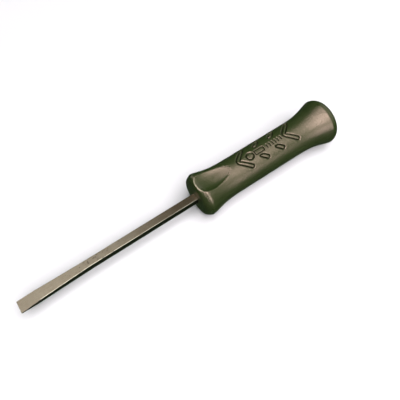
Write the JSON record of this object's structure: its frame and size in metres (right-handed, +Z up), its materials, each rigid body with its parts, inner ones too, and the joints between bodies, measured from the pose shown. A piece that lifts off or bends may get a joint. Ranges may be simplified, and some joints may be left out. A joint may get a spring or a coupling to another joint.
{
  "type": "flat blade screwdriver",
  "caption": "Large flat-blade screwdriver: square forged blade that spreads to a flat tip, and a thick two-layer moulded handle, flared at both ends, with a thumb scoop.",
  "frame": {"origin": "middle of the bounding box in plan, at the height of the table that the handle's widest ring rests on", "axes": "+X along the tool, from the tip towards the butt; +Z up through the thumb scoop; +Y to the left, seen from the butt looking at the tip with the scoop up"},
  "size_m": [0.27, 0.0374, 0.0374],
  "materials": {
    "forged_steel": "satin",
    "core_plastic": "satin",
    "grip_olive": "satin"
  },
  "bodies": {
    "root": {"blade": "forged_steel", "handle_core": "core_plastic", "grip_sleeve": "grip_olive"}
  },
  "joints": []
}
